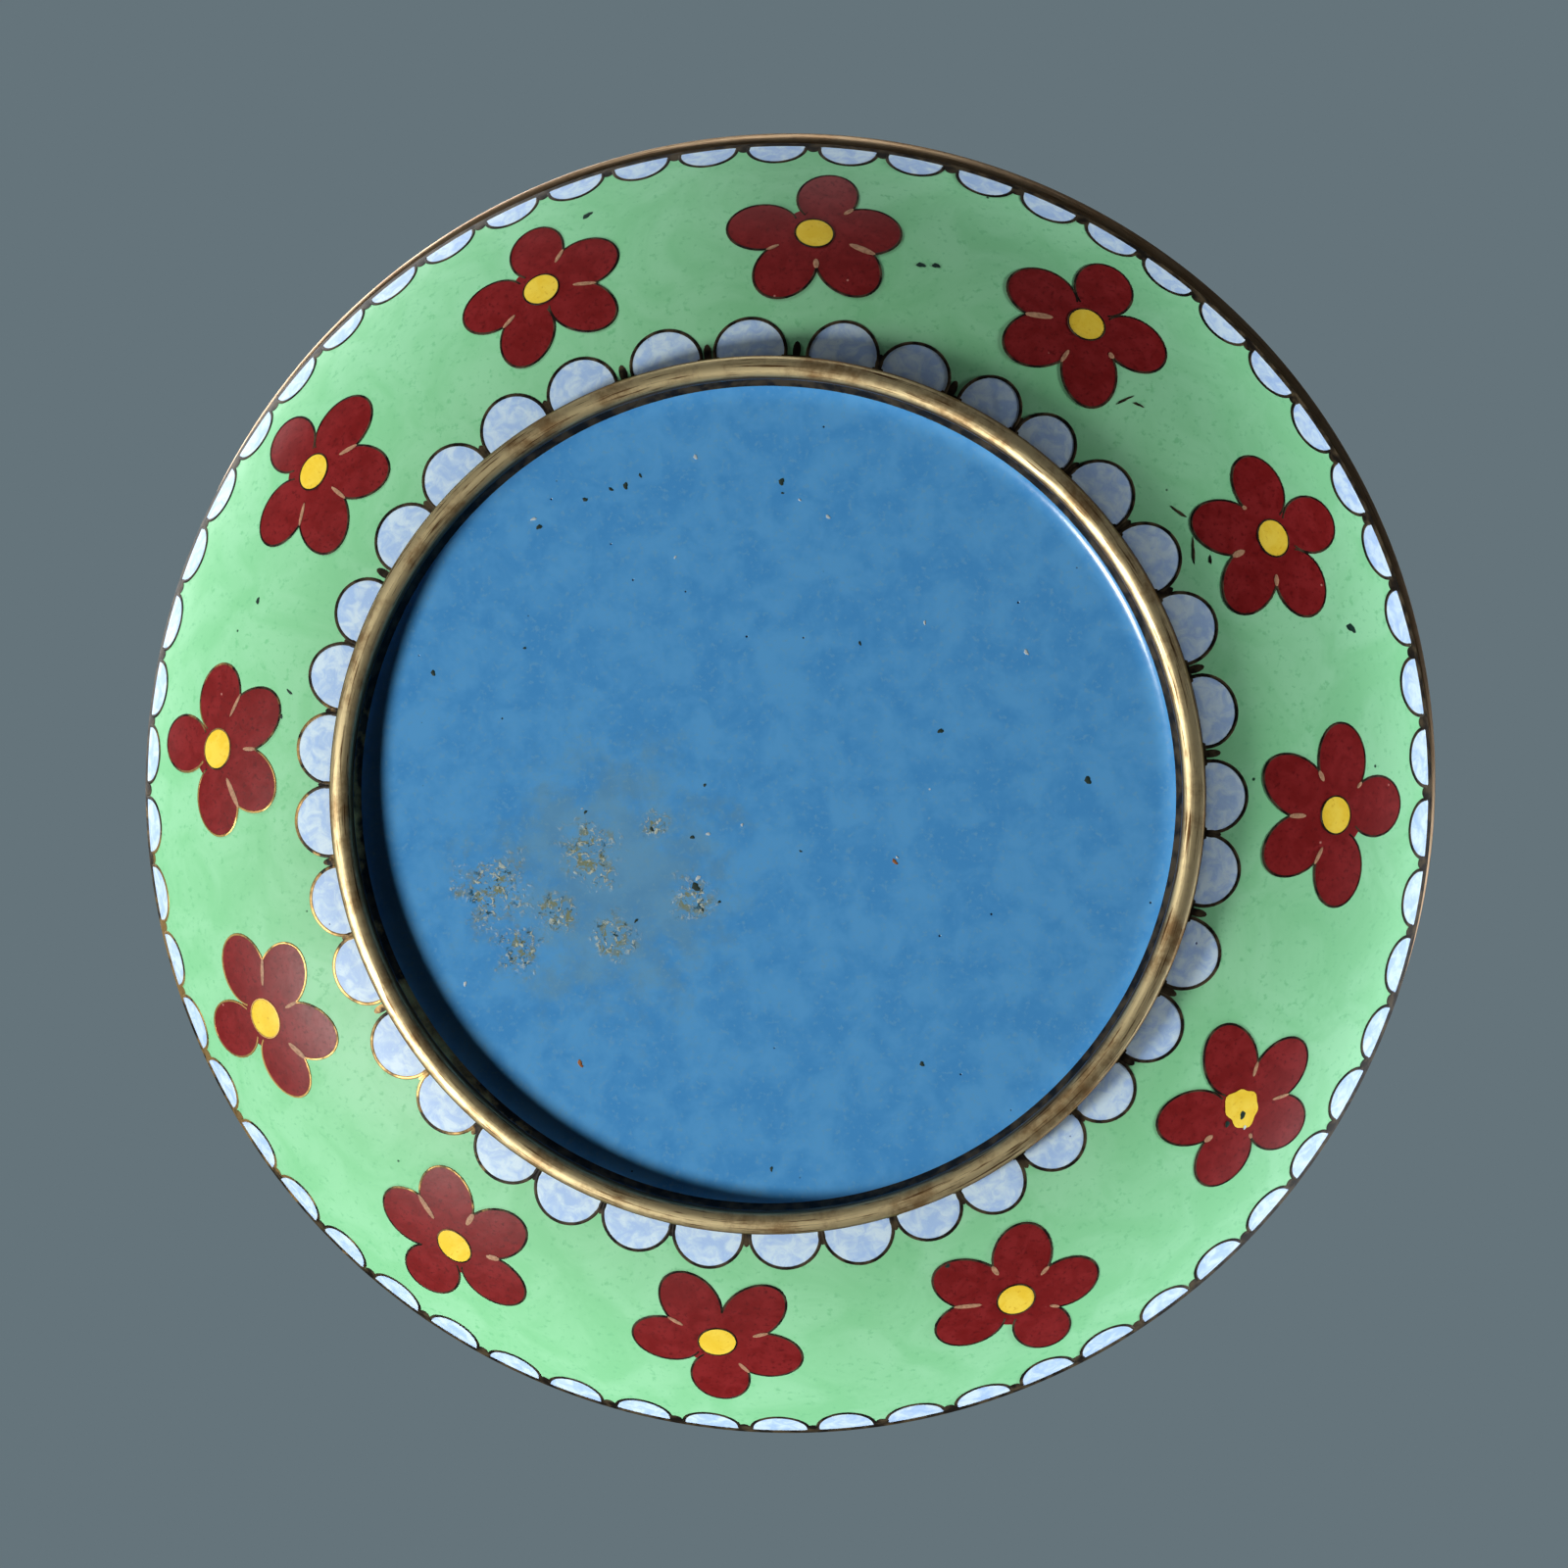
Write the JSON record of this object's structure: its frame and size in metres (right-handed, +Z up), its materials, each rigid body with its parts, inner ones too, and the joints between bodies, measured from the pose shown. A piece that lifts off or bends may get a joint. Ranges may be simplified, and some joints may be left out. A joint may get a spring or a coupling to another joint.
{
  "type": "cloisonne enamel box",
  "caption": "Round cloisonne enamel box on a foot ring, with gilt rims and a low domed lid that lifts off; holds small things.",
  "frame": {"origin": "on the table, under the centre of the foot ring", "axes": "+Z up along the axis of the round box; the lid has slid towards -Y within its play"},
  "size_m": [0.1197, 0.1201, 0.0446],
  "materials": {
    "enamel_green": "satin, stoned and waxed green enamel on copper",
    "enamel_blue": "glossy blue counter-enamel, speckled",
    "enamel_lavender": "satin pale lavender enamel",
    "enamel_red": "satin ox-blood enamel",
    "enamel_yellow": "satin yellow enamel",
    "cell_wire": "darkened brass wire",
    "gilt_brass": "worn gilt brass"
  },
  "bodies": {
    "root": {"base_bowl": "enamel_green", "foot_ring": "gilt_brass", "base_rim": "gilt_brass", "lid_rim": "gilt_brass", "lid_dome": "enamel_green"}
  },
  "joints": []
}
